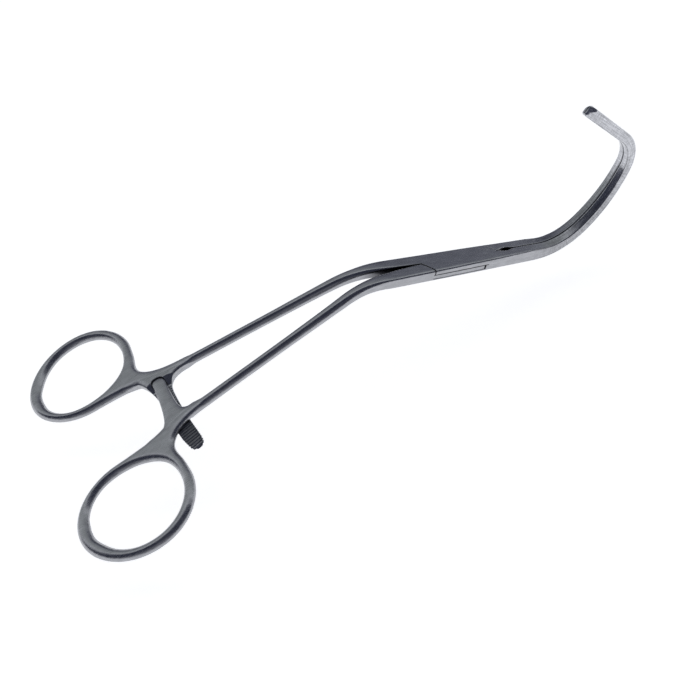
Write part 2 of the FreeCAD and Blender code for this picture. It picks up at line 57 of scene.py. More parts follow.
def middle_line(q):
    q = np.asarray(q, float)
    x, z, a = q - PIN, np.zeros_like(q), np.zeros_like(q)
    m = q <= -BEND_T
    x[m], z[m], a[m] = CB * q[m] - PIN, SB * q[m], BEND
    m = (q > -BEND_T) & (q < BEND_T)
    psi = BEND * (1 - (q[m] + BEND_T) / (2 * BEND_T))
    x[m] = -BEND_T * CB + BEND_R * (SB - np.sin(psi)) - PIN
    z[m] = -BEND_T * SB + BEND_R * (np.cos(psi) - CB)
    a[m] = psi
    s0, x0, z0, a0 = JAW_START, JAW_START - PIN, 0.0, 0.0
    for r, ang in JAW_ARCS:
        m = q > s0
        st = np.minimum(q[m] - s0, r * ang)
        b = a0 + st / r
        x[m] = x0 + r * (np.sin(b) - math.sin(a0))
        z[m] = z0 + r * (math.cos(a0) - np.cos(b))
        a[m] = b
        e = a0 + ang
        x0, z0 = x0 + r * (math.sin(e) - math.sin(a0)), z0 + r * (math.cos(a0) - math.cos(e))
        s0, a0 = s0 + r * ang, e
    m = q > s0
    x[m], z[m], a[m] = x0 + (q[m] - s0) * math.cos(a0), z0 + (q[m] - s0) * math.sin(a0), a0
    return x, z, a


def lock_to_rest(p):
    c, s = math.cos(TILT), math.sin(TILT)
    out = np.empty_like(p)
    out[:, 0] = c * p[:, 0] + s * p[:, 2] + REST_X
    out[:, 1] = p[:, 1]
    out[:, 2] = -s * p[:, 0] + c * p[:, 2] + REST_Z
    return out * 0.001


def unrolled_to_lock(v):
    x, z, a = middle_line(v[:, 0])
    return np.stack([x - v[:, 2] * np.sin(a), v[:, 1], z + v[:, 2] * np.cos(a)], 1)


# ------------------------------------------------------------------ outline tools
def spline(pts, step=0.5):
    """Centripetal curve through the points."""
    p = np.asarray(pts, float)
    p = np.vstack([2 * p[0] - p[1], p, 2 * p[-1] - p[-2]])
    out = []
    for i in range(1, len(p) - 2):
        p0, p1, p2, p3 = p[i - 1], p[i], p[i + 1], p[i + 2]
        t0 = 0.0
        t1 = t0 + np.linalg.norm(p1 - p0) ** 0.5
        t2 = t1 + np.linalg.norm(p2 - p1) ** 0.5
        t3 = t2 + np.linalg.norm(p3 - p2) ** 0.5
        n = max(2, int(np.linalg.norm(p2 - p1) / step) + 1)
        t = np.linspace(t1, t2, n, endpoint=False)[:, None]
        a1 = (t1 - t) / (t1 - t0) * p0 + (t - t0) / (t1 - t0) * p1
        a2 = (t2 - t) / (t2 - t1) * p1 + (t - t1) / (t2 - t1) * p2
        a3 = (t3 - t) / (t3 - t2) * p2 + (t - t2) / (t3 - t2) * p3
        b1 = (t2 - t) / (t2 - t0) * a1 + (t - t0) / (t2 - t0) * a2
        b2 = (t3 - t) / (t3 - t1) * a2 + (t - t1) / (t3 - t1) * a3
        out.append((t2 - t) / (t2 - t1) * b1 + (t - t1) / (t2 - t1) * b2)
    out.append(p[-2][None])
    return np.vstack(out)


def outline_distance(poly, X, Y):
    """Signed distance to a closed outline, negative inside. X and Y are arrays of one shape."""
    d2 = np.full(X.shape, 1e9)
    inside = np.zeros(X.shape, bool)
    a = np.asarray(poly, float)
    b = np.roll(a, -1, 0)
    for (ax, ay), (bx, by) in zip(a, b):
        ex, ey = bx - ax, by - ay
        L = ex * ex + ey * ey
        if L < 1e-12:
            continue
        px, py = X - ax, Y - ay
        t = np.clip((px * ex + py * ey) / L, 0, 1)
        dx, dy = px - t * ex, py - t * ey
        np.minimum(d2, dx * dx + dy * dy, out=d2)
        if ay != by:
            c = ((ay > Y) != (by > Y)) & (X < ex * (Y - ay) / ey + ax)
            inside ^= c
    d = np.sqrt(d2)
    return np.where(inside, -d, d)


def blend_min(a, b, k):
    h = np.clip(0.5 + 0.5 * (b - a) / k, 0, 1)
    return b + (a - b) * h - k * h * (1 - h)


def round_and(a, b, r):
    """Intersection of two fields with an edge radius."""
    a, b = a + r, b + r
    return np.minimum(np.maximum(a, b), 0) + np.hypot(np.maximum(a, 0), np.maximum(b, 0)) - r


# ------------------------------------------------------------------ the plan of the forgings
HOLE = [(-107.9, 27.0), (-107.1, 22.6), (-104.4, 18.8), (-100.4, 16.3), (-95.2, 15.25), (-90.0, 15.5),
        (-86.2, 16.5), (-82.8, 18.2), (-80.1, 20.7), (-78.5, 24.0), (-77.95, 28.2), (-78.7, 32.3),
        (-80.9, 36.1), (-84.4, 39.1), (-88.9, 40.8), (-93.6, 41.05), (-98.5, 39.9), (-102.9, 37.1),
        (-106.0, 33.2), (-107.6, 30.0)]
SHANK_Q = [-60, -50, -40, -30, -20, -10]


def shank_mid(q):
    return 3.717 - 0.08347 * q


def shank_half(q):
    return float(np.interp(q, [-66, -50, -30, -10, 0], [1.72, 1.68, 1.74, 1.92, 2.0]))


def ring_outer(s_deg):
    s = np.radians(s_deg)
    a, b = 17.0 + 1.8, 14.6 + 1.8
    cx, cy = np.cos(s) * a, np.sin(s) * b * (1 + 0.034 * np.cos(s))
    th = 0.1023
    return np.stack([-93.34 + cx * math.cos(th) - cy * math.sin(th),
                     28.1 + cx * math.sin(th) + cy * math.cos(th)], 1)


HALF_Q = [0.0, 5.0, 12.0, 20.0, 27.0, 40.0, 53.5, 60.0, 66.0, 77.5, 90.0, 104.0, 118.6, 133.0, 150.0, JAW_END]
HALF_Y = [5.5, 5.36, 5.26, 5.1, 4.93, 4.65, 4.3, 4.03, 3.8, 3.32, 3.12, 3.0, 2.8, 2.35, 1.85, 1.5]


def half_width(q):
    return np.interp(q, HALF_Q, HALF_Y)


def medial_edge():
    p = [(-90.5, 11.62), (-86.0, 11.35), (-82.0, 11.0), (-78.6, 10.45), (-75.6, 9.55), (-72.4, 8.5), (-68.5, 7.75)]
    p += [(q, shank_mid(q) - shank_half(q)) for q in (-64, -56, -46, -36, -26, -16)]
    p += [(-8.0, 2.35), (0.0, 1.62), (8.0, 1.02), (16.0, 0.52), (23.7, 0.08)]
    return spline(p, 1.0)


def lateral_edge():
    p = [tuple(r) for r in ring_outer(np.array([33.0, 24.0, 15.0, 6.0, -3.0, -12.0]))]
    p += [(-75.15, 22.4), (-75.75, 19.7), (-75.85, 17.6), (-75.15, 15.7), (-73.3, 13.75), (-70.5, 12.25), (-66.5, 11.15)]
    p += [(q, shank_mid(q) + shank_half(q)) for q in (-60, -50, -40, -30, -20)]
    p += [(-10.0, 6.42), (-5.0, 5.92)]
    p += [(q, float(half_width(q))) for q in (0, 5, 12, 20)]
    return spline(p, 1.0)


RING = ring_outer(np.arange(-99, -325, -3.0))
MEDIAL = medial_edge()
LATERAL = lateral_edge()
SIDE_NEAR = [(q, float(half_width(q))) for q in (27.0, 33.0, 40.0, 47.0, 53.2)]
EDGE = [(23.8, 0.1), (25.0, -1.5), (26.25, -3.2), (26.8, -4.3), (27.05, -5.6)]
EYE = [(64.6, 0.1), (63.4, 0.24), (62.0, 0.6), (60.6, 0.84), (59.2, 0.8), (57.9, 0.46), (57.0, 0.1)]


def jaw_outer(q0, step=3.0):
    q = np.arange(q0, JAW_END - 2.0, step)
    q = np.append(q, [JAW_END - 1.9, JAW_END - 1.25, JAW_END - 0.8, JAW_END - 0.5])
    y = half_width(q)
    y[-3] -= 0.1
    y[-2] -= 0.35
    y[-1] -= 0.85
    return np.stack([q, y], 1)


def box_plan():
    m, l = MEDIAL, LATERAL[::-1]
    j = jaw_outer(66.0)
    near = np.array([(q, y) for q, y in SIDE_NEAR] + [(60.0, float(half_width(60.0)))])
    lower = np.vstack([near, j]) * [1, -1]
    eye = np.array(EYE) * [1, -1]
    back = [(56.2, -0.1), (55.0, 1.5), (53.75, 3.2), (53.3, 4.42)]
    upper = np.array([(q, float(half_width(q))) for q in (53.2, 47.0, 40.0, 33.0, 27.0)])
    return np.vstack([RING[::-1] * 1.0, m, EDGE[:-1], [(27.05, -float(half_width(27.05)))], lower,
                      [(JAW_END - 0.45, -0.1)], eye, back[:-1], upper, l])


def tongue_plan_back():
    m, l = MEDIAL * [1, -1], LATERAL[::-1] * [1, -1]
    e = [(23.62, -0.1), (24.84, -1.61), (26.1, -3.3), (26.65, -4.42), (26.86, -float(half_width(26.9)))]
    return np.vstack([RING[::-1] * [1, -1], m[:-1], e, l])


def tongue_plan_front():
    j = jaw_outer(66.0)
    e = [(56.26, 0.06), (55.04, 1.53), (53.79, 3.23), (53.24, float(half_width(53.3)))]
    return np.vstack([e, [(60.0, float(half_width(60.0)))], j, [(JAW_END - 0.45, 0.1)], np.array(EYE)])


def tongue_plate():
    h = 4.62
    return np.array([(21.5, -0.1), (29.64, -0.1), (29.75, 1.2), (30.05, 2.9), (30.72, h), (47.5, 4.45), (54.5, 4.3),
                     (58.0, 4.05), (58.0, 0.5), (57.0, 0.1), (50.36, 0.1), (50.25, -1.2), (49.7, -2.9), (48.95, -4.1),
                     (48.8, -4.41), (40.0, -4.62), (30.5, -4.83), (22.0, -4.9)])


# ------------------------------------------------------------------ thickness
THICK_Q = [-112, -76, -60, -30, -10, 5, 15, 30, 45, 60, 77.5, 90, 104, 120, 137, JAW_END]
THICK = [3.5, 3.5, 3.45, 3.6, 3.9, 4.1, 4.25, 4.5, 4.78, 4.88, 5.05, 5.1, 4.75, 4.25, 3.85, 3.95]
ROUND_Q = [-112, -95, -84, -66, -30, -12, -2, 8, 15, 22, 60, 90, 120, 150, JAW_END]
ROUND = [1.6, 1.6, 1.4, 1.5, 1.6, 1.55, 1.35, 0.95, 0.5, 0.22, 0.22, 0.3, 0.4, 0.6, 0.8]
CROWN_Q = [70, 86, 118, 140, JAW_END]
CROWN = [0.0, 0.2, 0.2, 0.12, 0.1]

GRID_Q = np.concatenate([np.arange(-114, -83, 0.3), np.arange(-83, -76, 0.18), np.arange(-76, -66, 0.15),
                         np.arange(-66, -63, 0.18), np.arange(-63, -10, 0.55),
                         np.arange(-10, 21.9, 0.3), np.arange(21.9, 28, 0.1), np.arange(28, 52.5, 0.3),
                         np.arange(52.5, 57, 0.1), np.arange(57, JAW_END + 1.2, 0.17)])
GRID_N = np.concatenate([np.arange(-3.05, -1.6, 0.13), np.arange(-1.6, 1.6, 0.18), np.arange(1.6, 3.06, 0.13)])
TOOTH = 0.97


def polar(q, y, n):
    """Handle-plane coordinates turned back about the pin: along, across, through."""
    x = CB * q - SB * n - PIN
    z = SB * q + CB * n
    r = np.hypot(x, y)
    v0 = np.arctan2(y, -x) * BAR_R
    u0 = CB * (-r + PIN) + SB * z
    w0 = -SB * (-r + PIN) + CB * z
    return u0, v0, w0


ARM = np.vstack([
    spline([(-81.5, -11.6), (-79.0, -10.75), (-77.1, -9.7), (-75.8, -8.1), (-74.95, -5.6), (-74.3, -2.3),
            (-73.95, 1.2), (-73.9, 4.4), (-74.05, 6.6)], 0.5),
    spline([(-73.95, 7.5), (-73.3, 8.15), (-72.2, 8.4), (-71.0, 8.3), (-70.15, 7.9), (-69.65, 7.2)], 0.3),
    spline([(-69.55, 6.2), (-69.5, 2.0), (-69.35, -3.0), (-69.05, -5.4), (-68.3, -6.9), (-67.0, -7.65), (-64.6, -7.8)], 0.4),
    [(-64.6, -9.5), (-80, -13)]])
BAR = np.vstack([
    spline([(-80.8, 11.9), (-79.2, 10.8), (-77.6, 9.3), (-76.3, 7.5), (-75.3, 5.4), (-74.5, 2.8), (-74.1, 0.0)], 0.5),
    [(-74.05, -8), (-74.1, -16), (-73.9, -20.3), (-73.55, -21.6), (-72.8, -22.6), (-71.9, -22.9), (-70.7, -22.9),
     (-69.8, -22.55), (-69.2, -21.7), (-68.9, -20.0), (-68.8, -18), (-68.72, -10), (-68.7, 1.6)],
    spline([(-68.65, 2.6), (-68.4, 4.2), (-67.6, 5.7), (-66.3, 6.85), (-64.6, 7.5), (-62.9, 7.86), (-61.2, 8.05)], 0.4),
    [(-61.2, 9.5), (-80, 13)]])


def serrate(v, pitch):
    t = 2 * np.pi * v / pitch
    return 0.5 - 0.5 * np.cos(t + 0.45 * np.sin(t))


def dome(f, q):
    """Handles and rings are softly domed: the faces fall away towards their edges."""
    half = np.interp(q, [-112, -78, -68, -60, -10], [2.3, 2.3, 2.0, 1.75, 1.95])[:, None]
    rise = np.interp(q, [-112, -78, -60, -12, 2, 14], [0.105, 0.095, 0.15, 0.14, 0.07, 0.0])[:, None]
    return rise * np.maximum(half + np.minimum(f, 0), 0) ** 2


def forging(half):
    box = half == "box"
    sign = 1 if box else -1
    Ys = np.concatenate([np.arange(-25.0, -6.0, 0.15), np.arange(-6.0, 6.0, 0.145), np.arange(6.0, 13.0, 0.18),
                         np.arange(13.0, 48, 0.3)])
    if not box:
        Ys = -Ys[::-1]
    Q, Y, N = GRID_Q, Ys, GRID_N
    F = np.full((len(Q), len(Y), len(N)), 2.0, np.float32)
    thick = np.interp(Q, THICK_Q, THICK) / 2
    rnd = np.interp(Q, ROUND_Q, ROUND)
    for handle in (True, False):
        iq = np.where(Q <= -58 if handle else Q > -58)[0]
        iy = np.arange(len(Y)) if handle else np.where(np.abs(Y) < 11.5)[0]
        q, y = Q[iq], Y[iy]
        Q2, Y2 = np.meshgrid(q, y, indexing="ij")
        if box:
            f2 = outline_distance(box_plan(), Q2, Y2)
        else:
            f2 = np.minimum(outline_distance(tongue_plan_back(), Q2, Y2),
                            outline_distance(tongue_plan_front(), Q2, Y2) if not handle else 9.0)
        if handle:
            hole = outline_distance(np.vstack([spline(HOLE + HOLE[:1], 0.7)]) * [1, sign], Q2, Y2)
            f2 = np.maximum(f2, -hole)
        f3 = f2[:, :, None]
        n3 = N[None, None, :]
        r3 = np.minimum(rnd[iq], thick[iq] - 0.05)[:, None, None]
        fall = np.interp(q, CROWN_Q, CROWN)[:, None] * np.abs(Y2) + dome(f2, q)
        d = round_and(f3, np.abs(n3) + fall[:, :, None] - thick[iq][:, None, None], r3)
        if not handle:
            # the long edges of the lock are broken by hand
            r = np.interp(q, [0, 8, 15, 22, 56, 72, 82], [1.26, 0.96, 0.96, 1.0, 0.9, 0.45, 0.27])[:, None, None]
            side = round_and((np.abs(Y2) - half_width(q)[:, None])[:, :, None],
                             np.abs(n3) - thick[iq][:, None, None], r)
            d = np.maximum(d, np.where((q > 1)[:, None, None] & (q < 82)[:, None, None], side, -9.0))
        Q3 = np.broadcast_to(Q2[:, :, None], d.shape)
        Y3 = np.broadcast_to(Y2[:, :, None], d.shape)
        N3 = np.broadcast_to(n3, d.shape)
        if handle:
            k = np.where((q > -84) & (q < -58))[0]
            s = slice(k[0], k[-1] + 1)
            u0, v0, w0 = polar(Q3[s], Y3[s], N3[s])
            dd = d[s]
            fs = f2[s]
            ts = thick[iq][s][:, None, None]
            rs = rnd[iq][s][:, None]
            arm = outline_distance(ARM, u0[:, :, 17], v0[:, :, 17])
            if box:
                # seat for the upper bar's tip, then the lower bar with its teeth
                seat = np.maximum(np.maximum(arm[:, :, None] - 0.08, -0.03 - w0), -8.0 - v0)
                p2 = outline_distance(BAR, u0[:, :, 9], v0[:, :, 9])
                both = blend_min(fs, p2, 0.25)
                r2 = 0.4 + (rs - 0.4) * np.clip(p2 / 2.5, 0, 1)
                low = round_and(both[:, :, None], np.abs(n3) + dome(both, q[s])[:, :, None] - ts, r2[:, :, None])
                teeth = np.where((v0 < 4.0) & (v0 > -20.6), serrate(v0, TOOTH), 0.85)
                top = -0.36 + 0.26 * teeth + 0.26 * np.clip(v0 + 20.6, -2.5, 0)
                top = top + 0.78 * (np.hypot(np.clip(v0 - 4.7, 0, 4), 0.2) - 0.2)
                low = np.maximum(low, w0 - top)
                dd = np.maximum(blend_min(dd, low, 0.05), -seat)
            else:
                # relief where the lower bar passes underneath, then the upper bar
                relief = np.maximum(np.maximum(w0 - 0.05, np.abs(u0 + 71.45) - 3.45), -17.5 - v0)
                dd = np.maximum(dd, -relief)
                both = blend_min(fs, arm, 0.25)
                r2 = 0.42 + (rs - 0.42) * np.clip(arm / 2.5, 0, 1)
                up = round_and(both[:, :, None], np.abs(n3) + dome(both, q[s])[:, :, None] - ts, r2[:, :, None])
                teeth = np.where((v0 > 2.0) & (v0 < 8.2), serrate(v0, TOOTH), 0.6)
                bottom = 0.47 - 0.4 * teeth
                up = np.maximum(up, bottom - w0)
                dd = np.minimum(dd, up)
            d[s] = dd
        else:
            k = np.where((q > 15) & (q < 68))[0]
            s = slice(k[0], k[-1] + 1)
            X3, Yk, Nk = Q3[s] - PIN, Y3[s], N3[s]
            dd = d[s]
            rr = np.hypot(X3, Yk)
            back = np.maximum(np.maximum(Yk - 0.1, X3), -22 - X3)
            front = np.maximum(np.maximum(-0.1 - Yk, -X3), X3 - 19)
            slot2 = np.minimum(np.minimum(rr - 10.5, back), front)
            if box:
                slot = np.maximum(slot2, np.abs(Nk + 0.45) - 0.85)
                dd = np.maximum(dd, -slot)
            else:
                Qk, Yk2 = Q2[s], Y2[s]
                p2 = outline_distance(tongue_plate(), Qk, Yk2)[:, :, None]
                plate = round_and(p2, np.abs(Nk + 0.45) - 0.8, 0.12)
                # the tongue turns on the rivet
                dd = np.maximum(np.minimum(dd, plate), 1.85 - rr)
            d[s] = dd
            # fine cross teeth on the gripping faces
            k = np.where(q > 84)[0]
            s = slice(k[0], k[-1] + 1)
            Qk, Yk, Nk = Q3[s], Y3[s], N3[s]
            fade = np.clip((Qk - 86) / 2, 0, 1) * np.clip((JAW_END - 1.0 - Qk) / 1.0, 0, 1)
            rows = np.exp(-((np.abs(Nk) - 0.75) / 0.42) ** 4) if box else np.exp(-((np.abs(Nk)) / 0.5) ** 4)
            saw = 0.5 - 0.5 * np.cos(2 * np.pi * Qk / 0.85)
            cut = fade * rows * saw * 0.16
            # the outer upper corner of each tip is ground away
            facet = (0.35 * (Qk - JAW_END + 4.2) + 0.75 * (np.abs(Yk) - 1.55) - 0.55 * (Nk + 1.85)) / 0.994
            d[s] = np.maximum(d[s], np.where(Qk > JAW_END - 12, facet, -9.0))
            if box:
                cut = cut + fade * np.exp(-(Nk / 0.3) ** 4) * 0.22
                d[s] = np.maximum(d[s], Yk + 0.1 + cut)
            else:
                d[s] = np.maximum(d[s], -(Yk - 0.1 - cut))
        F[iq[0]:iq[-1] + 1, iy[0]:iy[-1] + 1, :] = d
    return F, Q, Y, N


def net(F, Q, Y, N):
    """Quad mesh of the zero surface."""
    S = F < 0
    c = np.zeros(tuple(np.array(S.shape) - 1), np.int8)
    for i in (0, 1):
        for j in (0, 1):
            for k in (0, 1):
                c += S[i:S.shape[0] - 1 + i, j:S.shape[1] - 1 + j, k:S.shape[2] - 1 + k]
    active = (c > 0) & (c < 8)
    I, J, K = np.nonzero(active)
    idx = np.full(active.shape, -1, np.int32)
    idx[active] = np.arange(len(I))
    ax = (Q, Y, N)
    total = np.zeros((len(I), 3))
    count = np.zeros(len(I))
    corners = [(0, 0, 0), (1, 0, 0), (0, 1, 0), (1, 1, 0), (0, 0, 1), (1, 0, 1), (0, 1, 1), (1, 1, 1)]
    for a in corners:
        for axis in range(3):
            if a[axis]:
                continue
            b = list(a)
            b[axis] = 1
            fa = F[I + a[0], J + a[1], K + a[2]].astype(float)
            fb = F[I + b[0], J + b[1], K + b[2]].astype(float)
            m = (fa < 0) != (fb < 0)
            t = np.where(m, fa / np.where(m, fa - fb, 1), 0)
            p = np.stack([Q[I + a[0]], Y[J + a[1]], N[K + a[2]]], 1)
            pos = (I, J, K)[axis]
            p[:, axis] += t * (ax[axis][pos + 1] - ax[axis][pos])
            total += p * m[:, None]
            count += m
    verts = total / count[:, None]
    quads = []
    for axis in range(3):
        sl0 = [slice(1, -1)] * 3
        sl1 = [slice(1, -1)] * 3
        sl0[axis], sl1[axis] = slice(0, -1), slice(1, None)
        s0, s1 = S[tuple(sl0)], S[tuple(sl1)]
        i, j, k = np.nonzero(s0 != s1)
        flip = ~s0[i, j, k]
        g = [i + (axis != 0), j + (axis != 1), k + (axis != 2)]
        o1, o2 = [a for a in range(3) if a != axis]
        ring = []
        for d1, d2 in ((-1, -1), (0, -1), (0, 0), (-1, 0)):
            h = [g[0], g[1], g[2]]
            h[o1] = h[o1] + d1
            h[o2] = h[o2] + d2
            ring.append(idx[h[0], h[1], h[2]])
        quad = np.stack(ring, 1)
        if axis == 1:
            flip = ~flip
        quad[flip] = quad[flip][:, ::-1]
        quads.append(quad)
    return verts, np.vstack(quads)


def relax(v, quads, rounds=3, lam=0.5, mu=-0.52):
    e = np.vstack([quads[:, [0, 1]], quads[:, [1, 2]], quads[:, [2, 3]], quads[:, [3, 0]]])
    n = len(v)
    deg = np.bincount(e[:, 0], minlength=n) + np.bincount(e[:, 1], minlength=n)
    for _ in range(rounds):
        for w in (lam, mu):
            s = np.stack([np.bincount(e[:, 0], v[e[:, 1], c], n) + np.bincount(e[:, 1], v[e[:, 0], c], n)
                          for c in range(3)], 1)
            v = v + w * (s / deg[:, None] - v)
    return v


def near_line(line, x, y):
    a = np.asarray(line, float)
    d2 = np.full(x.shape, 1e9)
    for (ax, ay), (bx, by) in zip(a[:-1], a[1:]):
        ex, ey = bx - ax, by - ay
        t = np.clip(((x - ax) * ex + (y - ay) * ey) / (ex * ex + ey * ey), 0, 1)
        d2 = np.minimum(d2, (x - ax - t * ex) ** 2 + (y - ay - t * ey) ** 2)
    return np.sqrt(d2)


def painted_crevice_shade(v, lower):
    """How much painted shade each point gets: joint lines, the slit between the jaws, the eye of the lock and the
    hollow by the ratchet bar are darkened as painted shade.
    """
    q, y, n = v[:, 0], v[:, 1], v[:, 2]
    out = np.zeros(len(v))
    zone = (q > 14) & (q < 67)
    z = np.where(zone)[0]
    line = near_line([(18.0, 0.0), (23.8, 0.0), (25.0, -1.5), (26.25, -3.2), (26.8, -4.3), (27.0, -5.6)], q[z], y[z])
    out[z] = np.maximum(out[z], np.clip(1.9 - line / 0.18, 0, 1) * (n[z] > 0.25))
    z2 = np.where((q > 26.5) & (q < 50.5) & (y < -4.0))[0]
    out[z2] = np.maximum(out[z2], np.clip(1.5 - np.abs(n[z2] - 0.39) / 0.16, 0, 1))
    z3 = np.where((q > 0) & (q < 24))[0]
    wall = np.abs(y[z3]) - np.interp(q[z3], MEDIAL[:, 0], MEDIAL[:, 1])
    out[z3] = np.maximum(out[z3], np.clip(1.3 - wall / 0.25, 0, 1) * np.clip((q[z3] - 1) / 9, 0, 0.92))
    eye = near_line([(58.6, 0.0), (63.9, 0.0)], q[z], y[z])
    inside = np.interp(q[z], [58.0, 58.7, 59.8, 61.0, 62.2, 63.4, 64.6], [0.1, 0.22, 0.62, 0.8, 0.52, 0.2, 0.1])
    out[z] = np.maximum(out[z], np.clip(1.2 - (np.abs(y[z]) - inside) / 0.12, 0, 1) * (q[z] > 57.6) * (q[z] < 65))
    z4 = np.where((q > -76) & (q < -60) & (y < -1) & (n < 0.2))[0]
    if len(z4) and lower:
        out[z4] = np.maximum(out[z4], 0.5 * np.clip((-1 - y[z4]) / 5, 0, 1) * np.clip((n[z4] + 1.5) / 0.5, 0, 1))
    slit = np.clip(1.3 - np.abs(y) / 0.17, 0, 1) * ((q > 56) & (q < JAW_END - 22))
    out = np.maximum(out, slit * np.interp(q, [56, 58, 100, 125, 140], [0.6, 1.0, 1.0, 0.6, 0.0]))
    return np.clip(out, 0, 1)


def mesh_object(name, verts, faces, flow=None, painted_shade=None):
    me = bpy.data.meshes.new(name)
    faces = np.asarray(faces, np.int32)
    k = faces.shape[1]
    me.vertices.add(len(verts))
    me.vertices.foreach_set("co", np.ascontiguousarray(verts, np.float32).ravel())
    me.loops.add(faces.size)
    me.loops.foreach_set("vertex_index", faces.ravel())
    me.polygons.add(len(faces))
    me.polygons.foreach_set("loop_start", np.arange(0, faces.size, k, dtype=np.int32))
    me.polygons.foreach_set("loop_total", np.full(len(faces), k, np.int32))
    me.update(calc_edges=True)
    me.validate()
    me.polygons.foreach_set("use_smooth", np.ones(len(me.polygons), bool))
    if flow is not None:
        at = me.attributes.new("flow", "FLOAT_VECTOR", "POINT")
        at.data.foreach_set("vector", np.ascontiguousarray(flow, np.float32).ravel())
    # per-vertex amount of painted shade, darkening gaps, slits and hollows
    at = me.attributes.new("painted_shade", "FLOAT", "POINT")
    at.data.foreach_set("value", np.ascontiguousarray(painted_shade if painted_shade is not None else np.zeros(len(verts)), np.float32))
    ob = bpy.data.objects.new(name, me)
    bpy.context.scene.collection.objects.link(ob)
    return ob


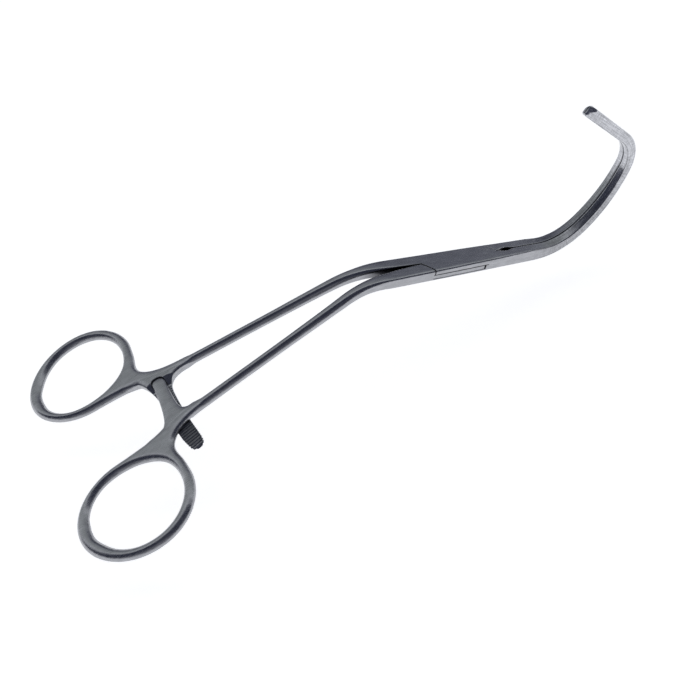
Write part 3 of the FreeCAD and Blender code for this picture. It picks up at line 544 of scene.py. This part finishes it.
# ------------------------------------------------------------------ steel
def satin_steel(name, base, rough):
    m = bpy.data.materials.new(name)
    m.use_nodes = True
    nt = m.node_tree
    nt.nodes.clear()
    out = nt.nodes.new("ShaderNodeOutputMaterial")
    bs = nt.nodes.new("ShaderNodeBsdfPrincipled")
    bs.inputs["Metallic"].default_value = 1.0
    nt.links.new(bs.outputs[0], out.inputs[0])
    at = nt.nodes.new("ShaderNodeAttribute")
    at.attribute_name = "flow"
    grain_map = nt.nodes.new("ShaderNodeMapping")
    grain_map.inputs["Scale"].default_value = (0.35, 2.6, 2.6)
    nt.links.new(at.outputs["Vector"], grain_map.inputs["Vector"])
    grain = nt.nodes.new("ShaderNodeTexNoise")
    grain.inputs["Scale"].default_value = 1.0
    grain.inputs["Detail"].default_value = 4.0
    grain.inputs["Roughness"].default_value = 0.6
    nt.links.new(grain_map.outputs[0], grain.inputs["Vector"])
    cloud = nt.nodes.new("ShaderNodeTexNoise")
    cloud.inputs["Scale"].default_value = 0.16
    cloud.inputs["Detail"].default_value = 3.0
    nt.links.new(at.outputs["Vector"], cloud.inputs["Vector"])
    tone = nt.nodes.new("ShaderNodeMix")
    tone.data_type = "RGBA"
    tone.inputs["A"].default_value = (base[0] * 0.72, base[1] * 0.72, base[2] * 0.74, 1)
    tone.inputs["B"].default_value = (base[0] * 1.28, base[1] * 1.28, base[2] * 1.26, 1)
    mixf = nt.nodes.new("ShaderNodeMath")
    mixf.operation = "MULTIPLY_ADD"
    mixf.inputs[1].default_value = 0.75
    nt.links.new(grain.outputs["Fac"], mixf.inputs[0])
    half = nt.nodes.new("ShaderNodeMath")
    half.operation = "MULTIPLY"
    half.inputs[1].default_value = 0.25
    nt.links.new(cloud.outputs["Fac"], half.inputs[0])
    nt.links.new(half.outputs[0], mixf.inputs[2])
    nt.links.new(mixf.outputs[0], tone.inputs["Factor"])
    # painted shade: a near-black colour is mixed into the base colour by the per-vertex shade amount, darkening gaps,
    # slits and hollows
    painted_shade = nt.nodes.new("ShaderNodeAttribute")
    painted_shade.attribute_name = "painted_shade"
    shade_mix = nt.nodes.new("ShaderNodeMix")
    shade_mix.data_type = "RGBA"
    shade_mix.inputs["B"].default_value = (0.012, 0.012, 0.018, 1)
    nt.links.new(painted_shade.outputs["Fac"], shade_mix.inputs["Factor"])
    # polishing lines that follow the forging, and a cross grain on the jaws
    def streaks(scale, lo, hi, detail):
        mp = nt.nodes.new("ShaderNodeMapping")
        mp.inputs["Scale"].default_value = scale
        nt.links.new(at.outputs["Vector"], mp.inputs["Vector"])
        ns = nt.nodes.new("ShaderNodeTexNoise")
        ns.inputs["Scale"].default_value = 1.0
        ns.inputs["Detail"].default_value = detail
        nt.links.new(mp.outputs[0], ns.inputs["Vector"])
        rg = nt.nodes.new("ShaderNodeMapRange")
        rg.inputs["From Min"].default_value = 0.3
        rg.inputs["From Max"].default_value = 0.7
        rg.inputs["To Min"].default_value = lo
        rg.inputs["To Max"].default_value = hi
        nt.links.new(ns.outputs["Fac"], rg.inputs["Value"])
        return rg.outputs[0]

    sx = nt.nodes.new("ShaderNodeSeparateXYZ")
    nt.links.new(at.outputs["Vector"], sx.inputs[0])
    jaw = nt.nodes.new("ShaderNodeMapRange")
    jaw.inputs["From Min"].default_value = 66.0
    jaw.inputs["From Max"].default_value = 84.0
    nt.links.new(sx.outputs["X"], jaw.inputs["Value"])
    along = streaks((0.1, 2.4, 2.4), 0.66, 1.2, 2.0)
    cross = streaks((3.2, 0.5, 0.5), 0.72, 1.22, 2.0)
    both = nt.nodes.new("ShaderNodeMath")
    both.operation = "MULTIPLY"
    nt.links.new(along, both.inputs[0])
    nt.links.new(cross, both.inputs[1])
    plain = streaks((0.25, 0.9, 0.9), 0.9, 1.08, 2.0)
    pick = nt.nodes.new("ShaderNodeMix")
    nt.links.new(jaw.outputs[0], pick.inputs["Factor"])
    nt.links.new(plain, pick.inputs["A"])
    nt.links.new(both.outputs[0], pick.inputs["B"])
    grain_and_sheen = nt.nodes.new("ShaderNodeVectorMath")
    grain_and_sheen.operation = "SCALE"
    nt.links.new(tone.outputs["Result"], grain_and_sheen.inputs[0])
    # painted highlight: the base colour grows up to 1.42 times brighter towards the hook end of the jaws, standing in
    # for a brighter reflection there
    painted_hook_sheen = nt.nodes.new("ShaderNodeMapRange")
    painted_hook_sheen.inputs["From Min"].default_value = 104.0
    painted_hook_sheen.inputs["From Max"].default_value = 128.0
    painted_hook_sheen.inputs["To Min"].default_value = 1.0
    painted_hook_sheen.inputs["To Max"].default_value = 1.42
    nt.links.new(sx.outputs["X"], painted_hook_sheen.inputs["Value"])
    streaks_and_sheen = nt.nodes.new("ShaderNodeMath")
    streaks_and_sheen.operation = "MULTIPLY"
    nt.links.new(pick.outputs["Result"], streaks_and_sheen.inputs[0])
    nt.links.new(painted_hook_sheen.outputs[0], streaks_and_sheen.inputs[1])
    nt.links.new(streaks_and_sheen.outputs[0], grain_and_sheen.inputs["Scale"])
    nt.links.new(grain_and_sheen.outputs["Vector"], shade_mix.inputs["A"])
    nt.links.new(shade_mix.outputs["Result"], bs.inputs["Base Color"])
    ramp = nt.nodes.new("ShaderNodeMapRange")
    ramp.inputs["From Min"].default_value = 0.3
    ramp.inputs["From Max"].default_value = 0.7
    ramp.inputs["To Min"].default_value = rough - 0.06
    ramp.inputs["To Max"].default_value = rough + 0.09
    nt.links.new(mixf.outputs[0], ramp.inputs["Value"])
    # the handles are tumbled softer than the lock
    soft = nt.nodes.new("ShaderNodeMapRange")
    soft.inputs["From Min"].default_value = -94.0
    soft.inputs["From Max"].default_value = 6.0
    soft.inputs["To Min"].default_value = 1.25
    soft.inputs["To Max"].default_value = 1.0
    nt.links.new(sx.outputs["X"], soft.inputs["Value"])
    gloss = nt.nodes.new("ShaderNodeMath")
    gloss.operation = "MULTIPLY"
    nt.links.new(ramp.outputs[0], gloss.inputs[0])
    nt.links.new(soft.outputs[0], gloss.inputs[1])
    nt.links.new(gloss.outputs[0], bs.inputs["Roughness"])
    bump = nt.nodes.new("ShaderNodeBump")
    bump.inputs["Strength"].default_value = 0.06
    bump.inputs["Distance"].default_value = 0.00003
    nt.links.new(grain.outputs["Fac"], bump.inputs["Height"])
    nt.links.new(bump.outputs[0], bs.inputs["Normal"])
    return m


STEEL = satin_steel("satin_steel", (0.372, 0.377, 0.398), 0.22)

for half, body, nodes in (("box", "box_half", ("box_finger_ring", "box_shank", "box_ratchet_bar", "lock_box", "box_jaw")),
                          ("tongue", "tongue_half", ("tongue_finger_ring", "tongue_shank", "tongue_ratchet_bar",
                                                     "lock_tongue", "tongue_jaw"))):
    v, f = net(*forging(half))
    v = relax(v, f)
    # the last argument is the painted shade in gaps, slits and hollows
    ob = mesh_object(half + "_half_forging", lock_to_rest(unrolled_to_lock(v)), f, v, painted_crevice_shade(v, half == "box"))
    ob.data.materials.append(STEEL)
    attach(ob, body)
    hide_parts(*nodes)
    print(half, "vertices", len(v), "faces", len(f))

# the rivet, kept just inside the plates, as it is ground flush and polished over
seg = 64
rings = [(0.0, -2.12), (1.5, -2.12), (1.68, -1.98), (1.68, -0.4), (1.68, 1.9), (1.5, 2.12), (0.0, 2.12)]
pv, pf = [], []
for r, z in rings[1:-1]:
    for i in range(seg):
        a = 2 * math.pi * i / seg
        pv.append((r * math.cos(a), r * math.sin(a), z))
for k in range(len(rings) - 3):
    for i in range(seg):
        j = (i + 1) % seg
        pf.append((k * seg + i, k * seg + j, (k + 1) * seg + j, (k + 1) * seg + i))
base = len(pv)
pv += [(0, 0, rings[0][1]), (0, 0, rings[-1][1])]
tri = [(base, (i + 1) % seg, i) for i in range(seg)]
top = (len(rings) - 3) * seg
tri += [(base + 1, top + i, top + (i + 1) % seg) for i in range(seg)]
me = bpy.data.meshes.new("pivot_rivet")
pv = np.array(pv, float)
me.from_pydata([tuple(p) for p in lock_to_rest(pv)], [], pf + tri)
me.update()
for p in me.polygons:
    p.use_smooth = True
at = me.attributes.new("flow", "FLOAT_VECTOR", "POINT")
at.data.foreach_set("vector", (pv + [PIN, 0, 0]).astype(np.float32).ravel())
rivet = bpy.data.objects.new("pivot_rivet", me)
bpy.context.scene.collection.objects.link(rivet)
RIVET = satin_steel("rivet_steel", (0.5, 0.505, 0.52), 0.2)
me.materials.append(RIVET)
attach(rivet, "box_half")
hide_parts("pivot_pin")

# ------------------------------------------------------------------ camera, floor, light
cam = bpy.data.cameras.new("camera")
cam.sensor_width = 36.0
cam.lens = 36.0 * 827.9 / 700.0
cam.clip_start, cam.clip_end = 0.01, 20
camera = bpy.data.objects.new("camera", cam)
bpy.context.scene.collection.objects.link(camera)


def lock_dir(v):
    c, s = math.cos(TILT), math.sin(TILT)
    return Vector((c * v[0] + s * v[2], v[1], -s * v[0] + c * v[2]))


cam_b = np.array([[-134.951 - PIN, -169.062, 156.430]])
pos = lock_to_rest(cam_b)[0]
right = lock_dir((0.85533555, -0.47594563, 0.20463837))
down = lock_dir((-0.19083185, -0.65666611, -0.72963883))
fwd = lock_dir((0.48164749, 0.58503451, -0.65249545))
m = Matrix(((right[0], -down[0], -fwd[0], pos[0]), (right[1], -down[1], -fwd[1], pos[1]),
            (right[2], -down[2], -fwd[2], pos[2]), (0, 0, 0, 1)))
camera.matrix_world = m
bpy.context.scene.camera = camera

bpy.ops.mesh.primitive_plane_add(size=6.0, location=(0, 0, -0.0136))
floor = bpy.context.object  # low enough for the swung ring in the open pose
floor.name = "floor"
fm = bpy.data.materials.new("floor_paper")
fm.use_nodes = True
fb = fm.node_tree.nodes["Principled BSDF"]
fb.inputs["Base Color"].default_value = (0.93, 0.93, 0.94, 1)
fb.inputs["Roughness"].default_value = 0.9
fb.inputs["Specular IOR Level"].default_value = 0.1
fb.inputs["Emission Color"].default_value = (1, 1, 1, 1)
fb.inputs["Emission Strength"].default_value = 0.71
floor.data.materials.append(fm)

bpy.ops.mesh.primitive_cylinder_add(vertices=96, radius=2.9, depth=8.0, end_fill_type="NOTHING", location=(0, 0, 1.0))
wall = bpy.context.object
wall.name = "backdrop"
wm = bpy.data.materials.new("backdrop_paper")
wm.use_nodes = True
wb = wm.node_tree.nodes["Principled BSDF"]
wb.inputs["Base Color"].default_value = (0.9, 0.9, 0.91, 1)
wb.inputs["Roughness"].default_value = 0.9
wb.inputs["Emission Color"].default_value = (1, 1, 1, 1)
wb.inputs["Emission Strength"].default_value = 0.85
wall.data.materials.append(wm)
wall.visible_glossy = wall.visible_diffuse = wall.visible_shadow = False

world = bpy.data.worlds.new("studio")
bpy.context.scene.world = world
world.use_nodes = True
wt = world.node_tree
bg = wt.nodes["Background"]
tc = wt.nodes.new("ShaderNodeTexCoord")
norm = wt.nodes.new("ShaderNodeVectorMath")
norm.operation = "NORMALIZE"
wt.links.new(tc.outputs["Generated"], norm.inputs[0])
dot = wt.nodes.new("ShaderNodeVectorMath")
dot.operation = "DOT_PRODUCT"
dot.inputs[1].default_value = (0.45, 1.0, 0.0)
wt.links.new(norm.outputs[0], dot.inputs[0])
mr = wt.nodes.new("ShaderNodeMapRange")
mr.inputs["From Min"].default_value = -1.2
mr.inputs["From Max"].default_value = 1.2
wt.links.new(dot.outputs["Value"], mr.inputs["Value"])
cr = wt.nodes.new("ShaderNodeValToRGB")
wt.links.new(mr.outputs[0], cr.inputs["Fac"])
e = cr.color_ramp.elements
e[0].position, e[0].color = 0.0, (0.24, 0.245, 0.27, 1)
e[1].position, e[1].color = 1.0, (0.09, 0.095, 0.12, 1)
for x, c in ((-1.02, (0.2, 0.205, 0.235)), (-0.82, (0.05, 0.055, 0.08)), (-0.15, (0.045, 0.05, 0.077)), (0.0, (0.08, 0.085, 0.115)), (0.1, (0.42, 0.43, 0.46)),
             (0.19, (0.92, 0.94, 0.97)), (0.29, (0.52, 0.54, 0.55)), (0.5, (0.395, 0.42, 0.425)),
             (0.7, (0.345, 0.36, 0.37)), (0.88, (0.262, 0.272, 0.314)), (0.97, (0.1, 0.105, 0.135))):
    k = e.new((x + 1.2) / 2.4)
    k.color = (*c, 1)
wt.links.new(cr.outputs[0], bg.inputs["Color"])
bg.inputs["Strength"].default_value = 1.15


def area(name, loc, target, size, power, color=(1, 1, 1)):
    l = bpy.data.lights.new(name, "AREA")
    l.shape = "RECTANGLE"
    l.size, l.size_y = size
    l.energy = power
    l.color = color
    o = bpy.data.objects.new(name, l)
    o.location = loc
    o.rotation_mode = "QUATERNION"
    o.rotation_quaternion = (Vector(target) - Vector(loc)).to_track_quat("-Z", "Y")
    bpy.context.scene.collection.objects.link(o)
    return o


fill = area("overhead", (0.0, 0.0, 1.8), (0, 0, 0), (2.4, 2.4), 4)
fill.visible_glossy = False
bpy.context.scene.view_settings.view_transform = "Standard"
bpy.context.scene.view_settings.look = "None"
